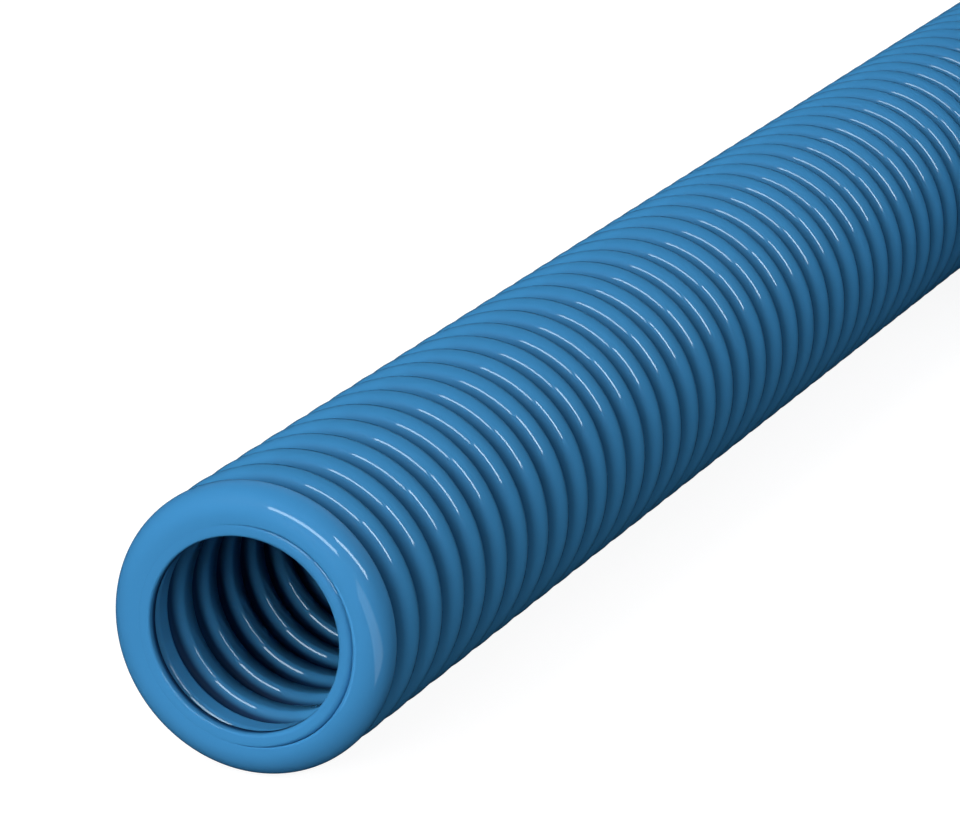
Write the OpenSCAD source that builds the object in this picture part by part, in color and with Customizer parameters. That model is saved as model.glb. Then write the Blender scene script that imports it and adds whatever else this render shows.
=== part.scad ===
// Pool vacuum hose, 38 mm bore: one length of ribbed hose with a moulded collar at its open
// mouth and a swivel cuff at its far end. The hose lies along +X from the middle of its mouth,
// and the length past the straight lead is wound to the right in a strapped two-layer coil.

/* [Hose] */
// Clear bore, over the lands inside
hose_bore = 38; // [34:0.5:40]
// Diameter over the rib crests
hose_od = 54; // [52:0.5:58]
// Distance from one rib to the next
rib_pitch = 9.8; // [9:0.1:11]
// Depth of the groove between two ribs
groove_depth = 4.4; // [3.8:0.1:4.6]
// Rounding of a rib's crest
crest_round = 3.3; // [2.8:0.1:3.4]
// Depth of the hollow inside each rib
hollow_depth = 2.2; // [1.8:0.1:2.4]
// Width of that hollow where it opens into the bore
hollow_width = 5.4; // [5:0.1:6.4]
// Ribs on the straight lead, past the collar
lead_ribs = 50; // [40:1:60]

/* [Mouth] */
// Rounding of the collar between its end face and its crest
nose_round = 5.2; // [4:0.1:5.4]
// Width of the level band along the collar's crest
collar_band = 0.5; // [0.3:0.1:2]
// Width of the rounded lip that shows inside the collar
lip_w = 2.3; // [1.8:0.1:2.4]
// Straight length of the lip behind its rounding
lip_land = 1.2; // [0.8:0.1:1.6]
// How far the lip stands into the bore, to grip a neck
lip_grip = 0.7; // [0.3:0.1:0.9]
// How far the lip lies behind the collar's end face
lip_sink = 0.2; // [0.1:0.1:0.5]
// Chamfer of the collar where it meets the lip
seam_chamfer = 0.4; // [0.2:0.1:0.6]

/* [Coil] */
// Radius of the outermost turn, to the middle of the hose
coil_radius = 316; // [310:2:360]
// Turns of the lower layer, wound inwards
bottom_turns = 1.5; // [1:0.25:1.5]
// Turns of the upper layer, wound outwards
top_turns = 1.25; // [1:0.25:1.25]
// Clear space between neighbouring turns
turn_gap = 4; // [4:0.1:6]

/* [Straps] */
// Width of a strap
strap_w = 25; // [16:1:30]
// Thickness of a strap
strap_t = 2; // [1.5:0.1:3]

/* [Swivel cuff] */
// Bore of the socket that slips over the vacuum head's neck
socket_bore = 38.2; // [36:0.1:42]
// Depth of the socket
socket_len = 44; // [35:1:60]
// Height of the stop at the inner end of the socket
stop_h = 1.6; // [1:0.1:2.5]
// Wall of the socket
socket_wall = 3.2; // [2.5:0.1:4]
// Width of the rounded bead round the socket's mouth
bead_w = 6; // [4:0.5:8]
// Height of that bead above the socket
bead_h = 1.6; // [1:0.1:2.4]
// Ribs of the hose that the bushing covers
covered_ribs = 3; // [2:1:4]
// Bare ribs between the coil's last turn and the bushing
free_ribs = 2; // [2:1:4]
// Wall of the bushing's sleeve
bushing_wall = 2; // [1.6:0.1:3]
// Height of the bushing's flange above its sleeve
flange_h = 1.6; // [1:0.1:2.5]
// Thickness of that flange
flange_t = 3.2; // [2.6:0.1:5]
// Length of the ring that holds the cuff behind the flange
ring_len = 16; // [10:1:18]
// Thickness of the lip that closes the back of the cuff
ring_lip = 2; // [1.5:0.1:3]
// Height of the step that the ring seats on
ring_step = 1.4; // [0.8:0.1:2]
// Wall of the cuff round the ring
shell_wall = 2; // [1.6:0.1:3]
// Thickness of the wall at the front of the chamber
front_wall = 3; // [2.4:0.1:4]
// Length of the cuff's sloping shoulder
shoulder_len = 9; // [7:1:14]
// Number of grip bars round the cuff
grip_count = 20; // [8:1:24]
// Height of a grip bar
grip_h = 0.9; // [0.4:0.1:1.2]
// Thickness of the seal ring's cord
seal_d = 1.8; // [1.4:0.1:2.2]

/* [Hidden] */
$fn = 72;
eps = 0.01;           // how far a cut runs past the face it opens
over = 1;             // how far a cut runs on where nothing is in its way

// Clearances
glue_gap = 0.05;      // between bonded pieces
bush_gap = 0.1;       // between the rib crests and the bushing, filled by its adhesive
swivel_gap = 0.08;    // radial running clearance of the swivel
face_gap = 0.4;       // play of the swivel along its axis
strap_gap = 0.6;      // slack of a strap round the turns
rest_gap = 0.5;       // from the cuff down to the turn that it lies over
seal_play = 0.2;      // on both sides of the seal in its groove

// Hose wall. A rib's crest and the groove beside it are arcs that touch, so that their two
// roundings add up to the arc over one pitch
hose_r = hose_od / 2;
bore_r = hose_bore / 2;
groove_r = hose_r - groove_depth;
groove_round = arc_radius(rib_pitch, groove_depth) - crest_round + eps;
crest_mid_r = hose_r - crest_round;
groove_mid_r = groove_r + groove_round;
touch_r = groove_mid_r + (crest_mid_r - groove_mid_r) * groove_round / (crest_round + groove_round);
hollow_round = arc_radius(hollow_width, hollow_depth);

// Mouth. The collar covers half a groove, and the hose's end is turned down to seat in it
lip_r = bore_r - lip_grip + lip_w;
lip_mid = lip_sink + lip_w / 2;
lip_len = lip_mid + lip_land;
neck_gap = 0.1;                                   // the lip's neck is this much slimmer
collar_end_wall = 0.8;                            // of the collar, at the bottom of its groove
spigot_r = groove_r - collar_end_wall;
collar_crest = nose_round + collar_band;
collar_len = collar_crest + rib_pitch / 2;
lead_len = collar_len + rib_pitch * lead_ribs;

// Coil. Angles run clockwise from where the hose leaves the straight
turn_pitch = hose_od + turn_gap;
ring_angle = 15;
climb_a = 360 * bottom_turns;
top_a = climb_a + 180;
end_a = top_a + 360 * top_turns;
inner_radius = coil_radius - turn_pitch * bottom_turns;
reversal = turn_pitch / (2 * PI);                 // how far the half turn dips inwards
straight_run = hose_od;                           // at each end of the coil
coil_x = lead_len + straight_run;
coil_lift = strap_t + strap_gap;                  // the turns stand on their straps
cuff_lift_a = 60;                                 // angle over which the end rises for the cuff
sides = 8;

// Straps, each across the middle of a side of the coil and clear of the cuff
strap_a = [for (i = [0 : 2]) (end_a - cuff_lift_a - ring_angle / 2 + 120 * i) % 360];

// Swivel. Lengths run along the hose from the end of the coil
tail_ribs = covered_ribs + free_ribs;
tail_len = tail_ribs * rib_pitch;
bushing_len = covered_ribs * rib_pitch;
sleeve_r = hose_r + bush_gap + bushing_wall;
flange_r = sleeve_r + flange_h;
flange_back = tail_len + glue_gap;
flange_front = flange_back + flange_t;

// Cuff. Its chamber turns on the flange, and the ring is pressed in behind
chamber_r = flange_r + swivel_gap;
chamber_end = flange_front + face_gap;
seat_r = chamber_r + ring_step;
shell_r = seat_r + shell_wall;
shell_back = flange_back - swivel_gap - ring_len;
shell_front = chamber_end + front_wall;
socket_r = socket_bore / 2;
socket_or = socket_r + socket_wall;
stop_t = shoulder_len;                            // from the chamber to the socket's inner stop
cuff_end = chamber_end + stop_t + socket_len;
passage_r = socket_r - stop_h;
bead_cut = 0.6;                                   // flat on the bead at the socket's mouth
grip_r = 1.6;                                     // rounding of a grip bar
grip_end = 1.2;                                   // from the ends of a grip bar to those of the shell
cuff_r = shell_r + grip_h;
cuff_rise = cuff_r + rest_gap - hose_r - turn_gap;

// Seal, squeezed lightly between the flange and a groove in the chamber's end wall
seal_mid_r = (lip_r + hose_r) / 2;
seal_room = seal_d + 2 * eps;
seal_groove = seal_room - face_gap;

// Where the end of the coil stands, and the way it points
tail_point = coil_point(end_a) + straight_run * heading(end_a);

// Radius of the arc over a chord, for a given rise
function arc_radius(chord, rise) = (rise * rise + chord * chord / 4) / (2 * rise);

// Smooth step from 0 to 1 as t goes from 0 to 1
function ease(t) = let (u = min(max(t, 0), 1)) u * u * (3 - 2 * u);

// Radius of the coil at angle a: inwards, a half turn that reverses, then outwards
function coil_r(a) =
    a < climb_a ? coil_radius - turn_pitch * a / 360 :
    a < top_a ? inner_radius - reversal * sin(a - climb_a) :
    inner_radius + turn_pitch * (a - top_a) / 360;

// Height of the hose's middle at angle a: up to its straps, up a layer, up for the cuff
function coil_z(a) =
    coil_lift * ease(a / ring_angle)
    + turn_pitch * ease((a - climb_a) / 180)
    + cuff_rise * ease((a - end_a + cuff_lift_a) / cuff_lift_a);

function coil_point(a) = [
    coil_x + coil_r(a) * sin(a),
    -coil_radius + coil_r(a) * cos(a),
    coil_z(a)
];

function heading(a) = [cos(a), -sin(a), 0];

// Stations of the coil, each a place and an angle: a straight run, the turns, a straight run
stations = concat(
    [[[lead_len, 0, 0], 0]],
    [for (a = [0 : ring_angle : end_a]) [coil_point(a), a]],
    [[tail_point, end_a]]
);

// The corners of an octagon with its flats r from the middle, as [outwards, up]
function octagon(r) = [
    for (k = [0 : sides - 1])
    let (g = (k + 0.5) * 360 / sides)
    r / cos(180 / sides) * [cos(g), sin(g)]
];

// The same corners round a station
function ring_at(station, r) = [
    for (p = octagon(r))
    station[0] + [p[0] * sin(station[1]), p[0] * cos(station[1]), p[1]]
];

// Triangles of the band between ring i and ring j, turned inside out for a bore
function band(i, j, inward) = [
    for (k = [0 : sides - 1])
    let (a = sides * i + k, b = sides * i + (k + 1) % sides)
    let (c = sides * j + k, d = sides * j + (k + 1) % sides)
    for (t = inward ? [[a, b, d], [a, d, c]] : [[a, d, b], [a, c, d]])
    t
];

// Clear space between two passes, along the best of the octagons' eight ways apart
function pass_gap(a, b) = max([
    for (k = [0 : sides - 1])
    let (g = k * 360 / sides)
    (coil_r(a) - coil_r(b)) * cos(g) + (coil_z(a) - coil_z(b)) * sin(g)
]) - hose_od;
least_gap = min([
    for (a = [0 : ring_angle : end_a - 360])
    for (b = [a + 360 : 360 : end_a])
    pass_gap(a, b)
]);
steps = [for (i = [1 : len(stations) - 1]) norm(stations[i][0] - stations[i - 1][0])];
hose_length = lead_len + steps * [for (s = steps) 1] + tail_len;
echo(least_gap_of_the_coil_mm = least_gap, hose_length_mm = hose_length);

// Turns a half section of [radius, distance along the hose] about the +X axis
module turned() {
    rotate([0, 90, 0])
        rotate_extrude()
            children();
}

// Carries a piece that is built along +X to the end of the coil
module at_tail() {
    translate(tail_point)
        rotate([0, 0, -end_a])
            children();
}

// A rectangle of the half section, between two radii and two distances
module wall(inner, outer, from, to) {
    translate([inner, from])
        square([outer - inner, to - from]);
}

// Rings of one rounding in the half section, at the given distances
module beads(mid, round, distances) {
    for (x = distances)
        translate([mid, x])
            circle(r = round);
}

// Ribs with their crests at the given distances, cut off at from and to
module ribs(crests, from, to) {
    grooves = concat([crests[0] - rib_pitch / 2], [for (x = crests) x + rib_pitch / 2]);
    difference() {
        intersection() {
            wall(bore_r, hose_od, from, to);
            union() {
                wall(bore_r, touch_r, from, to);
                beads(crest_mid_r, crest_round, crests);
            }
        }
        beads(groove_mid_r, groove_round, grooves);
    }
}

module end_collar() {
    color([0.23, 0.53, 0.75])
    turned()
    difference() {
        intersection() {
            union() {
                intersection() {
                    beads(hose_r - nose_round, nose_round, [nose_round]);
                    wall(0, hose_od, 0, nose_round + eps);
                }
                wall(lip_r, hose_r, nose_round, collar_crest);
                wall(lip_r, hose_r - nose_round, 0, collar_crest);
                wall(lip_r, touch_r, collar_crest - eps, collar_len);
                beads(crest_mid_r, crest_round, [collar_crest]);
            }
            wall(lip_r, hose_od, 0, collar_len - glue_gap);
        }
        beads(groove_mid_r, groove_round, [collar_len]);
        wall(0, lip_r + glue_gap, -over, lip_len);
        wall(0, spigot_r + glue_gap, lip_len - glue_gap, collar_len + over);
        translate([lip_r + glue_gap, 0])
            rotate(45)
                square(seam_chamfer * sqrt(2), center = true);
    }
}

module hose_lead() {
    crests = [for (i = [0 : lead_ribs]) collar_crest + i * rib_pitch];
    color([0.2, 0.48, 0.7])
    turned()
    difference() {
        union() {
            intersection() {
                beads(lip_r - lip_w / 2, lip_w / 2, [lip_mid]);
                wall(0, hose_od, 0, lip_mid + eps);
            }
            wall(lip_r - lip_w, lip_r, lip_mid, lip_len);
            wall(bore_r, lip_r - neck_gap, lip_mid, lip_len + over);
            wall(bore_r, spigot_r, lip_len, lead_len);
            ribs([for (i = [1 : lead_ribs]) crests[i]], collar_len, lead_len);
        }
        beads(bore_r + hollow_depth - hollow_round, hollow_round, crests);
    }
}

module hose_coil() {
    n = len(stations);
    rings = concat(
        [for (s = stations) for (p = ring_at(s, hose_r)) p],
        [for (s = stations) for (p = ring_at(s, bore_r)) p]
    );
    color([0.2, 0.45, 0.66])
    polyhedron(rings, concat(
        [for (i = [0 : n - 2]) for (t = band(i, i + 1, false)) t],
        [for (i = [0 : n - 2]) for (t = band(n + i, n + i + 1, true)) t],
        band(n, 0, false),
        band(n - 1, 2 * n - 1, false)
    ));
}

module hose_tail() {
    crests = [for (i = [0.5 : 1 : tail_ribs]) i * rib_pitch];
    color([0.2, 0.48, 0.7])
    at_tail()
    turned()
    difference() {
        union() {
            wall(bore_r, spigot_r, 0, tail_len);
            ribs(crests, 0, tail_len);
        }
        beads(bore_r + hollow_depth - hollow_round, hollow_round, crests);
    }
}

// The coil's passes at a strap, as octagons at both edges of the strap
module passes(angle, r) {
    chord = cos(ring_angle / 2);
    for (a = [angle : 360 : end_a])
        for (side = [-1, 1])
            let (back = a - ring_angle / 2, front = a + ring_angle / 2)
            let (t = 0.5 + side * strap_w / (4 * coil_r(a) * sin(ring_angle / 2)))
            let (out = coil_r(back) * (1 - t) + coil_r(front) * t)
            let (up = coil_z(back) * (1 - t) + coil_z(front) * t)
            translate([out * chord, up])
                polygon(octagon(r));
}

module coil_strap(angle) {
    color([0.12, 0.13, 0.15])
    translate([coil_x, -coil_radius, 0])
    rotate([90, 0, 90 - angle])
    linear_extrude(strap_w, center = true)
    difference() {
        hull()
            passes(angle, hose_r + strap_gap + strap_t);
        hull()
            passes(angle, hose_r + strap_gap);
    }
}

module coil_strap_1() coil_strap(strap_a[0]);

module coil_strap_2() coil_strap(strap_a[1]);

module coil_strap_3() coil_strap(strap_a[2]);

module swivel_bushing() {
    color([0.1, 0.24, 0.42])
    at_tail()
    turned() {
        wall(hose_r + bush_gap, sleeve_r, tail_len - bushing_len, flange_back + eps);
        wall(lip_r, flange_r, flange_back, flange_front);
    }
}

module retaining_ring() {
    color([0.12, 0.28, 0.48])
    at_tail()
    turned() {
        wall(sleeve_r + swivel_gap, seat_r - glue_gap, shell_back - ring_lip, shell_back + ring_len);
        wall(sleeve_r + swivel_gap, shell_r, shell_back - ring_lip, shell_back - glue_gap);
    }
}

module swivel_seal() {
    color([0.1, 0.1, 0.11])
    at_tail()
    turned()
    translate([seal_mid_r, flange_front + seal_room / 2])
        circle(d = seal_d);
}

module swivel_cuff() {
    color([0.14, 0.33, 0.55])
    at_tail()
    difference() {
        union() {
            turned() {
                wall(passage_r, shell_r, shell_back, shell_front);
                polygon([
                    [passage_r, shell_front - over], [shell_r, shell_front - over], [shell_r, shell_front],
                    [socket_or, shell_front + shoulder_len], [socket_or, cuff_end], [passage_r, cuff_end]
                ]);
                intersection() {
                    translate([socket_or + bead_h - bead_w / 2, cuff_end - bead_w / 2 + bead_cut])
                        circle(d = bead_w);
                    wall(socket_or - over, hose_od, cuff_end - bead_w, cuff_end);
                }
            }
            for (i = [1 : grip_count])
                rotate([i * 360 / grip_count, 0, 0])
                    translate([shell_back + grip_end, 0, cuff_r - grip_r])
                        rotate([0, 90, 0])
                            cylinder(h = shell_front - shell_back - 2 * grip_end, r = grip_r);
        }
        turned() {
            wall(0, seat_r, shell_back - over, shell_back + ring_len);
            wall(0, chamber_r, shell_back, chamber_end);
            wall(0, passage_r, chamber_end - over, cuff_end + over);
            wall(0, socket_r, cuff_end - socket_len, cuff_end + over);
            wall(seal_mid_r - seal_d / 2 - seal_play, seal_mid_r + seal_d / 2 + seal_play,
                chamber_end - eps, chamber_end + seal_groove);
        }
    }
}

end_collar();
hose_lead();
hose_coil();
hose_tail();
coil_strap_1();
coil_strap_2();
coil_strap_3();
swivel_bushing();
retaining_ring();
swivel_seal();
swivel_cuff();
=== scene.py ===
"""A ribbed pool vacuum hose: its straight lead with a moulded collar, and the rest of its six
metres wound in a strapped coil that ends in a swivel cuff. Lengths are in metres."""

from math import cos, pi, radians

import bpy
import numpy as np
from mathutils import Matrix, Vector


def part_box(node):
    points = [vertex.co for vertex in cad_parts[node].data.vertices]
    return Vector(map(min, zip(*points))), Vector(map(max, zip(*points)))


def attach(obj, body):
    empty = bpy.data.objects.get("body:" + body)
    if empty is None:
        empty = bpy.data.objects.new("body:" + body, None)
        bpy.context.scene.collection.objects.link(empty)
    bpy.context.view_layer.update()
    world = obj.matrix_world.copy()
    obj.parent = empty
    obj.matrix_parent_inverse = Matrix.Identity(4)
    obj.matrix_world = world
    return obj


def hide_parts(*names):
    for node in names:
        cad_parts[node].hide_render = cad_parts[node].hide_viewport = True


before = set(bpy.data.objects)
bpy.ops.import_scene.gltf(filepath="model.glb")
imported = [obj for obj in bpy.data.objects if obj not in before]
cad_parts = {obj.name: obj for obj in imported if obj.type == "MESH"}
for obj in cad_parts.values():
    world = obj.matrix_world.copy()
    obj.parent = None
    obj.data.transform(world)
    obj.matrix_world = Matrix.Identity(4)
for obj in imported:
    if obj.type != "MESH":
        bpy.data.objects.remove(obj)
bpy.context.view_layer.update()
bpy.context.scene.view_settings.view_transform = "Standard"

# The camera ---------------------------------------------------------------------------------
# A long lens in front of the mouth, tilted down and turned to the hose's far side, so that the
# mouth stands at the lower left of the picture.

crest_r = 0.027                               # over the ribs
pitch = radians(17.15)
heading = radians(23.49)
ahead = np.array([cos(pitch) * cos(heading), cos(pitch) * np.sin(heading), -np.sin(pitch)])
right = np.array([np.sin(heading), -cos(heading), 0.0])
above = np.cross(right, ahead)
from_mouth = np.array([1.5471, 1.4762, -31.4463])       # right, above, ahead, in crest radii

camera_data = bpy.data.cameras.new("camera")
camera_data.lens = 181.45
camera_data.clip_end = 60.0
camera = bpy.data.objects.new("camera", camera_data)
camera.location = crest_r * (from_mouth @ np.stack([right, above, ahead]))
camera.rotation_euler = (pi / 2 - pitch, 0.0, heading - pi / 2)
bpy.context.collection.objects.link(camera)
bpy.context.scene.camera = camera


# The hose -----------------------------------------------------------------------------------
# One length of blown plastic, ringed by round ribs with a hollow inside each. It leaves the
# collar straight, then winds inwards in a lower layer and outwards in an upper one.

lead_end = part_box("hose_lead")[1].x
hose_d = 2 * crest_r
bore_r = 0.019
groove_d = 0.0044
rib_pitch = 0.0098
crest_round = 0.0033
groove_round = (groove_d**2 + rib_pitch**2 / 4) / (2 * groove_d) - crest_round
groove_r = crest_r - groove_d
nose_round = 0.0052
collar_band = 0.0005
collar_crest = nose_round + collar_band
collar_len = collar_crest + rib_pitch / 2

hollow_d = 0.0026
land_place = 0.47                             # shares of a rib: from a groove to a land,
land_share = 0.30                             # the level land,
fall_share = 0.32                             # its slope into the hollow,
rise_share = 0.26                             # and the shoulder of the next land

turn_pitch = hose_d + 0.004
coil_radius = 0.316
bottom_turns = 1.5
top_turns = 1.25
climb_a = 360 * bottom_turns
top_a = climb_a + 180
end_a = top_a + 360 * top_turns
inner_radius = coil_radius - turn_pitch * bottom_turns
coil_lift = 0.0026
lift_a = 15
cuff_rise = 0.00458
rise_a = 60
coil_x = lead_end + hose_d
tail_len = 5 * rib_pitch


def ease(t):
    """A smooth step, 3t^2 - 2t^3 with t held between 0 and 1."""
    t = np.clip(t, 0, 1)
    return t * t * (3 - 2 * t)


def coil_out(a):
    """Radius at angle a in degrees: in by one turn's pitch each turn, a half turn that dips
    by a sine and reverses, then out by the same pitch."""
    down = coil_radius - turn_pitch * a / 360
    reverse = inner_radius - turn_pitch / (2 * pi) * np.sin(np.radians(a - climb_a))
    up = inner_radius + turn_pitch * (a - top_a) / 360
    return np.where(a < climb_a, down, np.where(a < top_a, reverse, up))


def coil_up(a):
    """Height at angle a: on to the straps, up one layer in the half turn, up for the cuff."""
    return (
        coil_lift * ease(a / lift_a)
        + turn_pitch * ease((a - climb_a) / 180)
        + cuff_rise * ease((a - end_a + rise_a) / rise_a)
    )


def coil_points(a):
    """Points of the coil's middle line at the angles a, clockwise seen from above: its middle
    plus the radius times the sine and the cosine."""
    turn = np.radians(a)
    out = coil_out(a)
    return np.stack(
        [coil_x + out * np.sin(turn), -coil_radius + out * np.cos(turn), coil_up(a)], 1
    )


end_turn = radians(end_a)
end_way = np.array([cos(end_turn), -np.sin(end_turn), 0.0])
coil_end = coil_points(np.array([float(end_a)]))[0]
tail_start = coil_end + hose_d * end_way
coil_a = np.arange(0, end_a + 0.5, 1.0)
line = np.concatenate(
    [
        [[0.0, 0.0, 0.0], [lead_end, 0.0, 0.0]],
        coil_points(coil_a),
        [tail_start, tail_start + tail_len * end_way],
    ]
)
reach = np.concatenate([[0], np.cumsum(np.linalg.norm(np.diff(line, axis=0), axis=1))])
half_way = float(np.interp((climb_a + top_a) / 2, coil_a, reach[2:-2]))


def stations(s):
    """Middle points at distances s, interpolated along the line, with two unit vectors: out to
    the left of the way from a point just before to one just after, and up, square to both."""
    near = 0.004
    past = line[-1] + near * end_way
    middle = np.stack([np.interp(s, reach, line[:, k]) for k in range(3)], 1)
    after = [np.interp(s + near, reach, line[:, k], right=past[k]) for k in range(3)]
    before = [np.interp(s - near, reach, line[:, k], left=-near * (k == 0)) for k in range(3)]
    way = np.stack(after, 1) - np.stack(before, 1)
    way /= np.linalg.norm(way, axis=1)[:, None]
    left = np.stack([-way[:, 1], way[:, 0], 0 * way[:, 0]], 1)
    left /= np.linalg.norm(left, axis=1)[:, None]
    return middle, left, np.cross(way, left)


def grid(name, points, **marks):
    """A mesh of four-sided faces between the rows and columns of points, closed both ways and
    facing out where the rows follow the outside in the hose's way and come back inside. Each
    mark is a number per row, kept as an attribute."""
    rows, columns = points.shape[:2]
    i, j = np.meshgrid(np.arange(rows), np.arange(columns), indexing="ij")
    down, across = (i + 1) % rows, (j + 1) % columns
    faces = np.stack([i, down, down, i], -1) * columns + np.stack([j, j, across, across], -1)
    mesh = bpy.data.meshes.new(name)
    mesh.from_pydata(points.reshape(-1, 3), [], faces.reshape(-1, 4).tolist())
    mesh.shade_smooth()
    for mark, value in marks.items():
        layer = mesh.attributes.new(mark, "FLOAT", "POINT")
        layer.data.foreach_set("value", np.repeat(value, columns).astype(np.float32))
    piece = bpy.data.objects.new(name, mesh)
    bpy.context.collection.objects.link(piece)
    return piece


def swept(name, s, r, around, **marks):
    """A closed skin: the loop of (distance s, radius r) is carried round the hose's line, so
    each point is middle + r (left cos t - up sin t), and both directions of the grid close."""
    middle, left, up = stations(s)
    t = np.linspace(0, 2 * pi, around, endpoint=False)
    ring = left[:, None] * np.cos(t)[:, None] - up[:, None] * np.sin(t)[:, None]
    return grid(name, middle[:, None] + r[:, None, None] * ring, **marks)


def rib(crest_steps, groove_steps):
    """One rib as offsets from its groove and radii: half of the groove's arc, the crest's arc
    between the two points where they touch, and the other half of the groove's arc."""
    lean = pi / 2 + np.arctan2(groove_d - crest_round - groove_round, rib_pitch / 2)
    g = np.linspace(0, lean, groove_steps, endpoint=False)
    b = np.linspace(-lean, lean, crest_steps)
    up = groove_round * np.sin(g)
    rise = groove_r + groove_round * (1 - np.cos(g))
    over = rib_pitch / 2 + crest_round * np.sin(b)
    crest = crest_r - crest_round * (1 - np.cos(b))
    offset = np.concatenate([up, over, rib_pitch - up[:0:-1]])
    return offset, np.concatenate([rise, crest, rise[:0:-1]])


def hollow(turns):
    """How deep the inside lies, from 0 on a land to 1 in a hollow, as a function of the ribs
    passed: level, a slow smooth step out, and a quick one back to a land's near shoulder."""
    u = (turns - land_place) % 1
    return ease((u - land_share) / fall_share) * (1 - ease((u - 1 + rise_share) / rise_share))


def ribbed(name, start, end, rib_steps, around, inner_depth, inner_turns):
    """A stretch of hose between two distances: the rib's arcs outside, and inside the bore's
    radius plus inner_depth times the hollow, in rows at inner_turns. The groove mark, which the
    plastic turns into painted shade, is up to a half in the grooves outside, and the hollow's
    square inside."""
    count = round((end - start) / rib_pitch)
    step = (end - start) / count
    offset, radius = rib(*rib_steps)
    out_s = (start + step * np.arange(count)[:, None] + offset * step / rib_pitch).ravel()
    out_s = np.append(out_s, end)
    out_r = np.append(np.tile(radius, count), radius[0])
    in_s = end - (np.arange(count)[:, None] + 1 - inner_turns[::-1]).ravel() * step
    in_s = np.append(in_s, start)
    wave = hollow((in_s - start) / step)
    depth = np.append(0.5 * (crest_r - out_r) / groove_d, wave**2)
    return swept(name, np.append(out_s, in_s), np.append(out_r, bore_r + inner_depth * wave),
                 around, groove=depth)


# Rows lie closest on the shoulder of a land, which is what gleams in the bore.
inner_turns = np.append([0.0, 0.32, 0.44, 0.56, 0.66], np.linspace(0.76, 0.99, 6))
inner_turns = np.sort((inner_turns + land_place) % 1)
smooth_bore = np.array([1.0])
lead = ribbed("hose_straight", collar_len, lead_end, (9, 3), 78, hollow_d, inner_turns)
lower = ribbed("hose_lower_turns", lead_end, half_way, (5, 2), 36, 0.0, smooth_bore)
upper = ribbed("hose_upper_turns", half_way, reach[-1], (5, 2), 36, 0.0, smooth_bore)


class Maths:
    """Wraps a socket, so that sums of sockets and numbers add their Math nodes."""

    def __init__(self, finish, socket):
        self.finish = finish
        self.socket = socket

    def of(self, kind, a, b=0.0, swapped=False):
        first, second = (b, a) if swapped else (a, b)
        return self.finish.node("Math", {0: first, 1: second}, operation=kind)

    def __add__(self, other):
        return self.of("ADD", self, other)

    def __sub__(self, other):
        return self.of("SUBTRACT", self, other)

    def __rsub__(self, other):
        return self.of("SUBTRACT", self, other, True)

    def __mul__(self, other):
        return self.of("MULTIPLY", self, other)

    def sine(self):
        return self.of("SINE", self)

    __radd__ = __add__
    __rmul__ = __mul__


class Finish:
    """A material under construction. node() adds any node and answers one of its outputs."""

    def __init__(self, name, **constants):
        self.made = bpy.data.materials.new(name)
        self.made.use_nodes = True
        self.tree = self.made.node_tree
        self.shader = self.tree.nodes["Principled BSDF"]
        for socket, value in constants.items():
            self.shader.inputs[socket.replace("_", " ")].default_value = value

    def node(self, kind, sockets=None, output=0, **settings):
        added = self.tree.nodes.new("ShaderNode" + kind)
        for setting, value in settings.items():
            setattr(added, setting, value)
        for socket, value in (sockets or {}).items():
            self.join(value, added.inputs[socket])
        return Maths(self, added.outputs[output])

    def join(self, value, socket):
        if isinstance(value, Maths):
            self.tree.links.new(value.socket, socket)
        else:
            socket.default_value = value

    def feed(self, socket, value):
        self.join(value, self.shader.inputs[socket])

    def mix(self, factor, a, b):
        """Colour a where factor is 0 and b where it is 1."""
        return self.node("Mix", {0: factor, 6: a, 7: b}, output=2, data_type="RGBA")

    def noise(self, scale):
        """Soft random values near 0.5 in the piece's own coordinates."""
        return self.node("TexNoise", {"Vector": self.node("TexCoord", output=3), "Scale": scale})

    def smooth(self, value, low, high):
        """0 where value is below low, 1 where it is above high, and a smooth step between."""
        sockets = {"Value": value, "From Min": low, "From Max": high}
        return self.node("MapRange", sockets, interpolation_type="SMOOTHSTEP")

    def bump(self, height, strength, distance):
        sockets = {"Height": height, "Strength": strength, "Distance": distance}
        self.feed("Normal", self.node("Bump", sockets))


def blown_plastic(name, crest, deep):
    """Glossy blown plastic, with painted shade: its colour falls from crest to deep down in the
    grooves and hollows, darkened there where shade falls, and the clear skin that gives the
    gloss is lost there too. Both wander a little from place to place."""
    finish = Finish(name, IOR=1.47, Roughness=0.5, Coat_Roughness=0.06, Coat_IOR=1.47)
    finish.shader.inputs["Specular IOR Level"].default_value = 0.06
    groove = finish.node("Attribute", output=2, attribute_name="groove")
    drift = finish.noise(30.0)
    # Painted shade: the colour darkens towards deep as the groove mark rises, in the grooves and
    # hollows.
    painted_shade_part = finish.smooth(groove + drift * 0.06, 0.06, 0.62)
    finish.feed("Base Color", finish.mix(painted_shade_part, crest, deep))
    finish.feed("Coat Weight", 0.9 - finish.smooth(groove, 0.19, 0.28) * 0.9)
    finish.feed("Roughness", drift * 0.1 + 0.45)
    return finish.made


# The colour of the painted shade in the grooves and hollows of the hose and the collar.
groove_shade_blue = (0.007, 0.045, 0.13, 1)
hose_plastic = blown_plastic("hose_plastic", (0.043, 0.226, 0.465, 1), groove_shade_blue)
for piece, node in ((lead, "hose_lead"), (lower, "hose_coil"), (upper, "hose_tail")):
    piece.data.materials.append(hose_plastic)
    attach(piece, "hose")
    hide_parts(node)


# The straps ---------------------------------------------------------------------------------
# Three ties of woven webbing, each pulled taut round the turns. The free end laps over the
# start, where hooks on its inner face hold it, and is sewn along its edges and across.

strap_w = 0.025
web_t = 0.0018
web_r = crest_r + 0.0006 + web_t / 2          # from the middle of a turn to mid-thickness
web_step = 0.0015
web_end = 0.0003                              # length of the rounding at each end
lap = 0.075
climb = 0.012                                 # run in which the end climbs on to the start
skin = 0.0001                                 # clear space under the lap and the stitches
stitch_pitch = 0.0042
stitch_len = 0.0030
thread_r = 0.00035
sewn_in = 0.003                               # from the stitches to the webbing's edge


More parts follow.
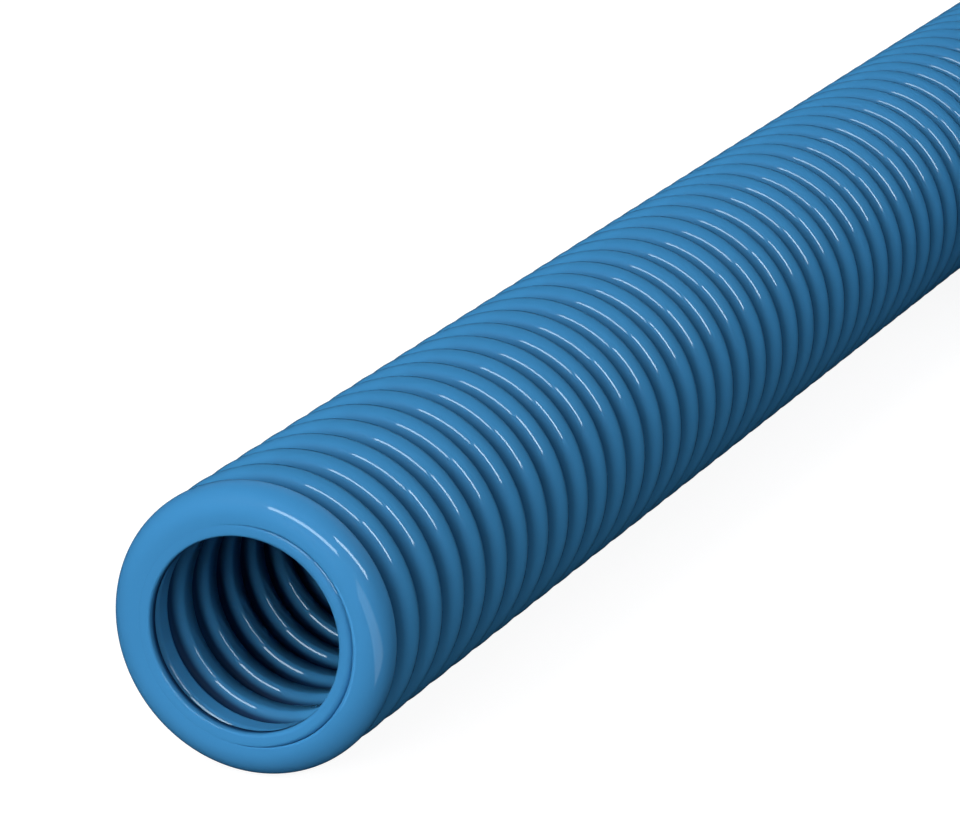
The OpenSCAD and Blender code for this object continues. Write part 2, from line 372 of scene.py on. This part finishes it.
def taut(angle):
    """The line round the passes of the hose at an angle, as (out, up) with its normals: in
    each direction the farthest point of all the circles, evened out along its length."""
    turns = np.arange(angle, end_a, 360.0)
    edge = np.degrees(strap_w / 2 / coil_out(turns))
    at = np.concatenate([turns - edge, turns + edge])
    middles = np.stack([coil_out(at), coil_up(at)], 1)
    t = radians(60) - np.linspace(0, 2 * pi, 1441)
    normal = np.stack([np.cos(t), np.sin(t)], 1)
    point = middles[np.argmax(normal @ middles.T, 1)] + web_r * normal
    run = np.concatenate([[0], np.cumsum(np.linalg.norm(np.diff(point, axis=0), axis=1))])
    return run, point, normal


def ribbon(length):
    """The webbing laid flat: distances along it, to the side and proud of its middle, in rows
    of points round a flat cross-section with round edges. Both ends are drawn in."""
    corner = np.radians(np.linspace(-90, 90, 7))
    edge = (strap_w - web_t + web_t * np.cos(corner)) / 2
    side = np.concatenate([edge, -edge])
    proud = np.concatenate([np.sin(corner), -np.sin(corner)]) * web_t / 2
    s = np.arange(0.0, length + lap, web_step)
    s = np.concatenate([[s[0] - web_end] * 2, s, [s[-1] + web_end] * 2])
    narrow, thin = np.ones(len(s)), np.ones(len(s))
    narrow[[0, -1]] = 0.9
    thin[[0, 1, -2, -1]] = 0.01, 0.8, 0.8, 0.01
    return s[:, None] + 0 * side, np.outer(narrow, side), np.outer(thin, proud)


def stitches(length):
    """The sewing on the lap in the same three distances: a row along each edge and two across.
    A stitch is a run of rings whose radius goes as the root of half a sine wave."""
    inset = strap_w / 2 - sewn_in
    rows = np.arange(length + 0.006, length + lap - 0.008, stitch_pitch)
    cross = np.arange(-inset + stitch_pitch, inset - 0.002, stitch_pitch)
    s = np.concatenate([np.tile(rows, 2), np.repeat([rows[0], rows[-1]], len(cross))])
    side = np.concatenate([np.repeat([-inset, inset], len(rows)), np.tile(cross, 2)])
    across = (np.arange(len(s)) >= 2 * len(rows))[:, None, None]
    f = np.linspace(0, 1, 7)[:, None]
    t = np.linspace(0, 2 * pi, 6, endpoint=False)
    thick = thread_r * np.sin(pi * (0.04 + 0.92 * f)) ** 0.5
    along_it = f * stitch_len + 0 * t
    wide = thick * np.cos(t)
    return (
        s[:, None, None] + np.where(across, -wide, along_it),
        side[:, None, None] + np.where(across, along_it, wide),
        web_t / 2 + skin + thick * np.sin(t) + 0 * across,
    )


def bent(angle, s, side, proud):
    """Points of the flat strap laid on the taut line at an angle: proud goes out along the
    line's normal, side along the hose, and past the line's length the end climbs the start."""
    run, point, normal = taut(angle)
    lift = (web_t + skin) * ease((s - run[-1] + climb) / climb)
    place = [np.interp(s % run[-1], run, point[:, k]) for k in range(2)]
    facing = [np.interp(s % run[-1], run, normal[:, k]) for k in range(2)]
    out, up = (p + n * (lift + proud) for p, n in zip(place, facing))
    turn = radians(angle)
    x = coil_x + out * np.sin(turn) + side * cos(turn)
    y = -coil_radius + out * cos(turn) - side * np.sin(turn)
    return np.stack([x, y, up], -1)


def tube(rings, sides):
    """Faces of a tube whose points follow ring by ring: its quads, and a cap on each end."""
    i, j = np.meshgrid(np.arange(rings - 1), np.arange(sides), indexing="ij")
    on = (j + 1) % sides
    quads = np.stack([i, i + 1, i + 1, i], -1) * sides + np.stack([j, j, on, on], -1)
    ends = [np.arange(sides), (rings - 1) * sides + np.arange(sides)[::-1]]
    return quads.reshape(-1, 4), np.stack(ends)


def strapped(name, angle):
    """A strap and its stitches as one mesh, with the second material on the stitches. The
    webbing's UV is its distance along and its distance round the cross-section."""
    length = taut(angle)[0][-1]
    s, side, proud = ribbon(length)
    threads = bent(angle, *stitches(length))
    count, rings, sides = threads.shape[:3]
    quads, caps = tube(*s.shape)
    thread_quads, thread_caps = tube(rings, sides)
    first = s.size + rings * sides * np.arange(count)[:, None, None]
    faces = (
        quads.tolist()
        + caps.tolist()
        + (first + thread_quads).reshape(-1, 4).tolist()
        + (first + thread_caps).reshape(-1, sides).tolist()
    )
    points = [bent(angle, s, side, proud).reshape(-1, 3), threads.reshape(-1, 3)]
    mesh = bpy.data.meshes.new(name)
    mesh.from_pydata(np.concatenate(points), [], faces)
    mesh.shade_smooth()
    kinds = np.arange(len(faces)) >= len(quads) + len(caps)
    mesh.polygons.foreach_set("material_index", kinds.astype(np.int32))

    girth = np.append(0, np.cumsum(np.hypot(np.diff(side[2]), np.diff(proud[2]))))
    girth = np.append(girth, girth[-1] + web_t)
    i, j = np.divmod(quads[:, :1], s.shape[1])
    uv = np.zeros((len(mesh.loops), 2), np.float32)
    uv[: quads.size, 0] = s[i + np.array([0, 1, 1, 0]), 0].ravel()
    uv[: quads.size, 1] = girth[j + np.array([0, 0, 1, 1])].ravel()
    mesh.uv_layers.new(name="web").data.foreach_set("uv", uv.ravel())
    piece = bpy.data.objects.new(name, mesh)
    bpy.context.collection.objects.link(piece)
    return piece


web = Finish("strap_webbing", Roughness=0.85, IOR=1.45)
web.shader.inputs["Sheen Weight"].default_value = 0.25
web_uv = web.node("UVMap", uv_map="web")
weft = (web.node("SeparateXYZ", {0: web_uv}, output=0) * (2 * pi / 0.0016)).sine()
warp = (web.node("SeparateXYZ", {0: web_uv}, output=1) * (2 * pi / 0.0011)).sine()
weave = weft * warp * 0.5 + 0.5
web.feed("Base Color", web.mix(weave, (0.006, 0.007, 0.01, 1), (0.03, 0.034, 0.042, 1)))
web.bump(weave + web.noise(900.0) * 0.4, 0.6, 0.0003)
thread = Finish("strap_thread", Roughness=0.7)
fibres = thread.noise(1500.0)
thread.feed("Base Color", thread.mix(fibres, (0.2, 0.22, 0.25, 1), (0.34, 0.37, 0.4, 1)))

straps = []
for number in (1, 2, 3):
    strap_a = (end_a - rise_a - lift_a / 2 + 120 * (number - 1)) % 360
    strap = strapped(f"strap_webbing_{number}", strap_a)
    strap.data.materials.append(web.made)
    strap.data.materials.append(thread.made)
    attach(strap, "hose")
    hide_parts(f"coil_strap_{number}")
    straps.append(strap)


def route(start, end):
    """The line's own points between two distances, with both ends."""
    s = np.concatenate([[start], reach[(reach > start) & (reach < end)], [end]])
    return stations(s)[0].tolist()


for piece, start, end, ties in (
    (lead, collar_len, lead_end, []),
    (lower, lead_end, half_way, straps),
    (upper, half_way, reach[-1], []),
):
    route(start, end)[0]
    end - start
    route(start, end)


# The collar ---------------------------------------------------------------------------------
# A smooth ring of the same plastic, moulded over the hose's end: a flat face, a bull nose, and
# a crest as wide as the ribs behind it. The hose's own lip, a round bead, shows inside it.


def turned(name, outline, around, middle, way, other=None, share=0.0, **marks):
    """A closed outline of (distance, radius) turned about the line from middle along way: each
    point is middle + distance way + radius (side cos t - up sin t). The outline passes over to
    the other one by a share between 0 and 1, a number for each angle."""
    way = np.asarray(way, float)
    side = np.cross([0.0, 0.0, 1.0], way)
    up = np.cross(way, side)
    t = np.linspace(0, 2 * pi, around, endpoint=False)
    ring = side * np.cos(t)[:, None] - up * np.sin(t)[:, None]
    first = np.asarray(outline, float)[:, None]
    second = first if other is None else np.asarray(other, float)[:, None]
    both = first + (second - first) * np.broadcast_to(share, around)[:, None]
    points = np.asarray(middle) + both[..., :1] * way + both[..., 1:] * ring
    return grid(name, points, **marks)


def arc(middle_s, middle_r, round_r, start, end, steps):
    """Points of (distance, radius) on an arc: the middle plus its radius times the cosine and
    the sine, from start to end degrees, where 0 points away from the mouth and 90 outwards."""
    t = np.radians(np.linspace(start, end, steps))
    return np.stack([middle_s + round_r * np.cos(t), middle_r + round_r * np.sin(t)], 1)


lip_w = 0.0023
lip_grip = 0.0007
lip_sink = 0.0002
lip_land = 0.0012
lip_r = bore_r - lip_grip + lip_w             # where lip and collar meet
lip_mid = lip_sink + lip_w / 2
lip_len = lip_mid + lip_land
crest_lean = 8.0                              # degrees short of square where it meets the groove
end_wall = 0.0008
spigot_r = groove_r - end_wall
bond = 0.0001
open_seam_r = lip_r + 0.0006                  # the seam between lip and collar is open on one
tight_seam_r = lip_r - 0.0002                 # side of the mouth, and closed on the other
sharp = 0.00002

hollow_s = np.linspace(collar_len, lip_len, 26)
hollow_turns = (hollow_s - collar_len) / rib_pitch


def collar_with(edge, seam_r):
    """The collar's outline, with a rounding of its inner edge and the radius of that edge."""
    return np.concatenate(
        [
            [[lip_len, seam_r]],
            arc(edge, seam_r + edge, edge, 270, 180, 6),
            arc(nose_round, crest_r - nose_round, nose_round, 180, 90, 25),
            arc(collar_crest, crest_r - crest_round, crest_round, 90, crest_lean, 12),
            arc(collar_len, groove_r + groove_round, groove_round, 180 + crest_lean, 268, 8),
            [[collar_len, spigot_r], [lip_len, spigot_r]],
        ]
    )


def lip_with(edge, sink, roll, seam_r):
    """The outline of the hose's end, from the next piece: the first hollow, and the lip, sunk
    behind the collar's face, with a roll out of the bore and a rounding beside the collar."""
    inside = lip_r - lip_w
    return np.concatenate(
        [
            np.stack([hollow_s, bore_r + hollow_d * hollow(hollow_turns)], 1),
            [[lip_len - 0.0002, inside], [lip_mid + 0.0002, inside]],
            arc(sink + roll, inside + roll, roll, 270, 190, 9),
            arc(sink + edge, seam_r - edge, edge, 180, 90, 8),
            [[lip_len, seam_r], [lip_len, spigot_r - bond], [collar_len, spigot_r - bond]],
        ]
    )


mouth_sides = 160
mouth_turn = np.linspace(0, 2 * pi, mouth_sides, endpoint=False)
tight = 1 - ease((np.cos(mouth_turn - radians(182)) + 0.35) / 1.2)

collar_outline = collar_with(edge=0.0006, seam_r=open_seam_r)
# The collar's back groove gets the groove mark, which the plastic turns into painted shade.
collar_depth = 0.5 * np.clip((crest_r - collar_outline[:, 1]) / groove_d, 0, 1)
collar_depth[collar_outline[:, 0] < collar_crest] = 0
collar = turned(
    "mouth_collar", collar_outline, mouth_sides, (0, 0, 0), (1, 0, 0),
    collar_with(edge=sharp, seam_r=tight_seam_r), tight, groove=collar_depth,
)
collar_plastic = blown_plastic("collar_plastic", (0.046, 0.238, 0.50, 1), groove_shade_blue)
collar.data.materials.append(collar_plastic)
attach(collar, "hose")
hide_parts("end_collar")

# Painted shade in the bore: its colour is darkened from the back of the lip's land to the first
# shoulder, and on the lip's inner land, where shade falls.
lip_outline = lip_with(edge=0.0012, sink=lip_sink, roll=lip_w / 2, seam_r=open_seam_r)
shade_behind_lip = 1 - ease((hollow_s - 0.0037) / 0.0010)
lip_depth_and_shade = np.append(np.maximum(hollow(hollow_turns) ** 2, shade_behind_lip), [1.0, 0.5])
lip_depth_and_shade = np.append(lip_depth_and_shade, np.zeros(len(lip_outline) - len(lip_depth_and_shade)))
lip = turned(
    "hose_lip", lip_outline, mouth_sides, (0, 0, 0), (1, 0, 0),
    lip_with(edge=sharp, sink=sharp / 2, roll=0.0005, seam_r=tight_seam_r), tight,
    groove=lip_depth_and_shade,
)
lip.data.materials.append(collar_plastic)
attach(lip, "hose")


# The swivel ---------------------------------------------------------------------------------
# A bushing bonded over the hose's last ribs, and a moulded cuff that turns on its flange. A
# ring pressed in the back of the cuff holds it there, and a rubber seal lies in its front wall.


def rounded(corners, steps=5):
    """An outline through corners of (distance, radius, rounding): each corner is an arc that
    touches both its sides, held by a point just off each end of the arc. The arc's middle lies
    on the line that halves the corner, its rounding over the sine of the half angle away."""
    places = np.array([c[:2] for c in corners], float)
    hold = 0.15                               # of the rounding
    points = []
    for k, (_, _, rounding) in enumerate(corners):
        here = places[k]
        back = places[k - 1] - here
        on = places[(k + 1) % len(corners)] - here
        back /= np.linalg.norm(back)
        on /= np.linalg.norm(on)
        half = np.arccos(np.clip(back @ on, -1, 1)) / 2
        run = rounding / np.tan(half)
        middle = here + (back + on) / np.linalg.norm(back + on) * rounding / np.sin(half)
        start, end = here + back * run, here + on * run
        points.append(start + back * rounding * hold)
        for f in np.linspace(0, 1, steps):
            chord = start * (1 - f) + end * f - middle
            points.append(middle + chord / np.linalg.norm(chord) * rounding)
        points.append(end + on * rounding * hold)
    return np.array(points)


def divided(outline, step):
    """The same closed outline with points added, so that none lie farther apart than step."""
    ring = np.concatenate([outline, outline[:1]])
    run = np.concatenate([[0], np.cumsum(np.linalg.norm(np.diff(ring, axis=0), axis=1))])
    s = np.union1d(run[:-1], np.arange(0, run[-1], step))
    s = s[np.append(np.diff(s) > 1e-6, True)]
    return np.stack([np.interp(s, run, ring[:, k]) for k in range(2)], 1)


cuff_low, cuff_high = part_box("swivel_cuff")
shell_back = tail_start[1] - cuff_high.y
cuff_end = tail_start[1] - cuff_low.y
grip_h = 0.0009
shell_r = (cuff_high.x - cuff_low.x) / 2 - grip_h
shell_wall = 0.002
seat_r = shell_r - shell_wall
ring_step = 0.0014
chamber_r = seat_r - ring_step
socket_len = 0.044
socket_r = 0.0191
socket_or = socket_r + 0.0032
stop_h = 0.0016
passage_r = socket_r - stop_h
shoulder_len = 0.009
chamber_end = cuff_end - socket_len - shoulder_len
shell_front = chamber_end + 0.003
ring_len = 0.016
bead_w = 0.006
bead_h = 0.0016

cuff_outline = divided(
    rounded(
        [
            (shell_back, seat_r, 0.0003),
            (shell_back, shell_r, 0.0007),
            (shell_front, shell_r, 0.0018),
            (shell_front + shoulder_len, socket_or, 0.004),
            (cuff_end - bead_w, socket_or, 0.0012),
            (cuff_end - bead_w + 0.0012, socket_or + bead_h, 0.0012),
            (cuff_end, socket_or + bead_h, 0.0016),
            (cuff_end, socket_r, 0.0010),
            (cuff_end - socket_len, socket_r, 0.0003),
            (cuff_end - socket_len, passage_r, 0.0005),
            (chamber_end, passage_r, 0.0003),
            (chamber_end, chamber_r, 0.0005),
            (shell_back + ring_len, chamber_r, 0.0002),
            (shell_back + ring_len, seat_r, 0.0002),
        ]
    ),
    0.0012,
)
bars = 20
bar_half = 0.0019
bar_slope = 0.0016                            # length of the slope at each end of a bar
bar_inset = 0.0010                            # from there to the end of the shell
cuff_sides = bars * 18
cuff_turn = np.linspace(0, 2 * pi, cuff_sides, endpoint=False)
off_bar = ((cuff_turn * bars / (2 * pi) + 0.5) % 1 - 0.5) * 2 * pi / bars * shell_r
crown = 0.5 + 0.5 * np.cos(pi * np.clip(off_bar / bar_half, -1, 1))
cuff_s, cuff_r = cuff_outline.T
raised = ease((cuff_s - shell_back - bar_inset) / bar_slope)
raised *= ease((shell_front - bar_inset - cuff_s) / bar_slope)
raised *= cuff_r > shell_r - 0.0002
gripped = cuff_outline + np.stack([0 * raised, grip_h * raised], 1)
cuff = turned("cuff_body", cuff_outline, cuff_sides, tail_start, end_way, gripped, crown)

glue_gap = 0.00005
bush_gap = 0.0001
sleeve_wall = 0.002
sleeve_r = crest_r + bush_gap + sleeve_wall
swivel_gap = 0.00008
ring_lip = 0.002
ring_outline = rounded(
    [
        (shell_back - ring_lip, sleeve_r + swivel_gap, 0.0004),
        (shell_back - ring_lip, shell_r, 0.0008),
        (shell_back - glue_gap, shell_r, 0.0002),
        (shell_back - glue_gap, seat_r - glue_gap, 0.0001),
        (shell_back + ring_len, seat_r - glue_gap, 0.0003),
        (shell_back + ring_len, sleeve_r + swivel_gap, 0.0003),
    ]
)
retainer = turned("cuff_ring", ring_outline, 160, tail_start, end_way)

covered_ribs = 3
flange_back = tail_len + glue_gap
flange_front = flange_back + 0.0032
flange_r = sleeve_r + 0.0016
bushing_outline = rounded(
    [
        (tail_len - covered_ribs * rib_pitch, crest_r + bush_gap, 0.0003),
        (tail_len - covered_ribs * rib_pitch, sleeve_r, 0.0008),
        (flange_back, sleeve_r, 0.0003),
        (flange_back, flange_r, 0.0004),
        (flange_front, flange_r, 0.0004),
        (flange_front, lip_r, 0.0004),
        (flange_back, lip_r, 0.0003),
        (flange_back, crest_r + bush_gap, 0.0002),
    ]
)
bushing = turned("hose_bushing", bushing_outline, 160, tail_start, end_way)


def moulded(name, colour, shade, roughness):
    """Hard injection-moulded plastic: a slight drift in tone, and the fine even grain of a
    spark-finished mould in the gloss and the bump."""
    finish = Finish(name, IOR=1.49)
    finish.shader.inputs["Specular IOR Level"].default_value = 0.4
    finish.feed("Base Color", finish.mix(finish.noise(45.0), colour, shade))
    finish.feed("Roughness", finish.noise(1200.0) * 0.12 + (roughness - 0.06))
    finish.bump(finish.noise(2600.0), 0.12, 0.0002)
    return finish.made


cuff_plastic = moulded("cuff_plastic", (0.016, 0.085, 0.25, 1), (0.022, 0.11, 0.30, 1), 0.3)
fitting_plastic = moulded(
    "fitting_plastic", (0.010, 0.05, 0.15, 1), (0.014, 0.065, 0.18, 1), 0.35
)
for piece, node, body, slot, plastic in (
    (cuff, "swivel_cuff", "cuff", "cuff", cuff_plastic),
    (retainer, "retaining_ring", "cuff", "fitting", fitting_plastic),
    (bushing, "swivel_bushing", "hose", "fitting", fitting_plastic),
):
    piece.data.materials.append(plastic)
    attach(piece, body)
    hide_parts(node)

rubber = Finish("seal_rubber", Roughness=0.6)
bloom = rubber.noise(500.0)
rubber.feed("Base Color", rubber.mix(bloom, (0.01, 0.01, 0.01, 1), (0.03, 0.03, 0.03, 1)))
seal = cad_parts["swivel_seal"]
seal.data.materials.clear()
seal.data.materials.append(rubber.made)


# The room -----------------------------------------------------------------------------------
# A white floor that keeps the hose's soft shadow, white all round, large soft lamps for the
# form, and narrow ones that draw the fine bright lines along the ribs and round the mouth.

floor_z = -crest_r - 0.0002
far = 14.0
floor_mesh = bpy.data.meshes.new("floor")
floor_mesh.from_pydata(
    [(-far, -far, floor_z), (far, -far, floor_z), (far, far, floor_z), (-far, far, floor_z)],
    [],
    [(0, 1, 2, 3)],
)
floor = bpy.data.objects.new("floor", floor_mesh)
bpy.context.collection.objects.link(floor)
paper = Finish("paper", Roughness=0.9)
paper.feed("Base Color", (0.28, 0.28, 0.28, 1))
paper.shader.inputs["Emission Color"].default_value = (1, 1, 1, 1)
paper.shader.inputs["Specular IOR Level"].default_value = 0.0
paper.feed("Emission Strength", paper.node("LightPath", output=0) * 0.9)
floor.data.materials.append(paper.made)

world = bpy.data.worlds.new("studio")
world.use_nodes = True
bpy.context.scene.world = world
background = world.node_tree.nodes["Background"]
background.inputs["Color"].default_value = (1, 1, 1, 1)
path = world.node_tree.nodes.new("ShaderNodeLightPath")
strength = world.node_tree.nodes.new("ShaderNodeMath")
strength.operation = "MULTIPLY_ADD"           # 1 for the camera, a little for diffuse light
strength.inputs[1].default_value = 0.10
world.node_tree.links.new(path.outputs["Is Diffuse Ray"], strength.inputs[0])
world.node_tree.links.new(path.outputs["Is Camera Ray"], strength.inputs[2])
world.node_tree.links.new(strength.outputs[0], background.inputs["Strength"])


def lamp(name, level, distance, width, *ends, gleam_on=None):
    """A flat lamp that faces the lead: its long side runs between two directions from there,
    at a distance. Its power is pi^2 d^2 times the level, which gives a white surface that
    faces it a brightness of level. With gleam_on it is seen only as a gleam on those pieces."""
    lit_x = 0.15                              # the place on the lead that it faces
    ends = np.array(ends, float)
    ends *= distance / np.linalg.norm(ends, axis=1)[:, None]
    middle = ends.mean(0)
    back = middle / np.linalg.norm(middle)
    x = ends[1] - ends[0]
    length = np.linalg.norm(x)
    x = x / length
    data = bpy.data.lights.new(name, "AREA")
    data.shape = "RECTANGLE"
    data.size, data.size_y = length, width
    data.energy = level * pi**2 * distance**2
    made = bpy.data.objects.new(name, data)
    made.location = np.array([lit_x, 0.0, 0.0]) + middle
    made.rotation_euler = Matrix(np.stack([x, np.cross(back, x), back], 1)).to_euler()
    made.visible_camera = False
    made.visible_glossy = gleam_on is not None
    made.visible_diffuse = gleam_on is None
    if gleam_on is not None:
        data.color = (0.80, 0.93, 1.0)
        made.light_linking.receiver_collection = gleam_on
    bpy.context.collection.objects.link(made)


on_collar = bpy.data.collections.new("collar_only")
on_collar.objects.link(collar)
on_rest = bpy.data.collections.new("all_but_collar")
for piece in (lead, lower, upper, lip, cuff, retainer, bushing, *straps):
    on_rest.objects.link(piece)
for piece in (floor, lead, lip, collar):
    piece.visible_glossy = False              # so that no wall hides a gleam in the bore

lamp("streak_lamp", 0.32, 6.0, 0.9, (-0.56, 0.12, 0.81), (-0.63, -0.42, 0.66), gleam_on=on_rest)
lamp("side_streak_lamp", 0.30, 6.0, 0.8, (-0.45, -0.53, 0.72), (-0.38, -0.84, 0.38),
     gleam_on=on_rest)
lamp("collar_streak_lamp", 0.34, 6.0, 0.9, (-0.68, 0.20, 0.70), (-0.66, -0.51, 0.56),
     gleam_on=on_collar)
lamp("collar_side_streak_lamp", 0.30, 6.0, 0.8, (-0.15, -0.57, 0.81), (0.13, -0.90, 0.42),
     gleam_on=on_collar)
lamp("sheen_lamp", 0.20, 5.0, 2.2, (-0.75, -0.62, 0.23), (-0.15, -0.85, -0.5),
     gleam_on=on_collar)
lamp("key_lamp", 0.38, 5.0, 2.5, (-0.70, 0.05, 0.70), (-0.50, 0.65, 0.70))
lamp("front_lamp", 0.50, 5.0, 1.5, (-0.95, -0.24, 0.3), (-0.94, 0.24, 0.3))
lamp("back_lamp", 0.45, 5.0, 1.8, (0.90, -0.40, 0.28), (0.75, 0.60, 0.30))
lamp("side_lamp", 0.26, 5.0, 1.6, (-0.75, -0.7, 0.4), (-0.05, -0.85, 0.5))
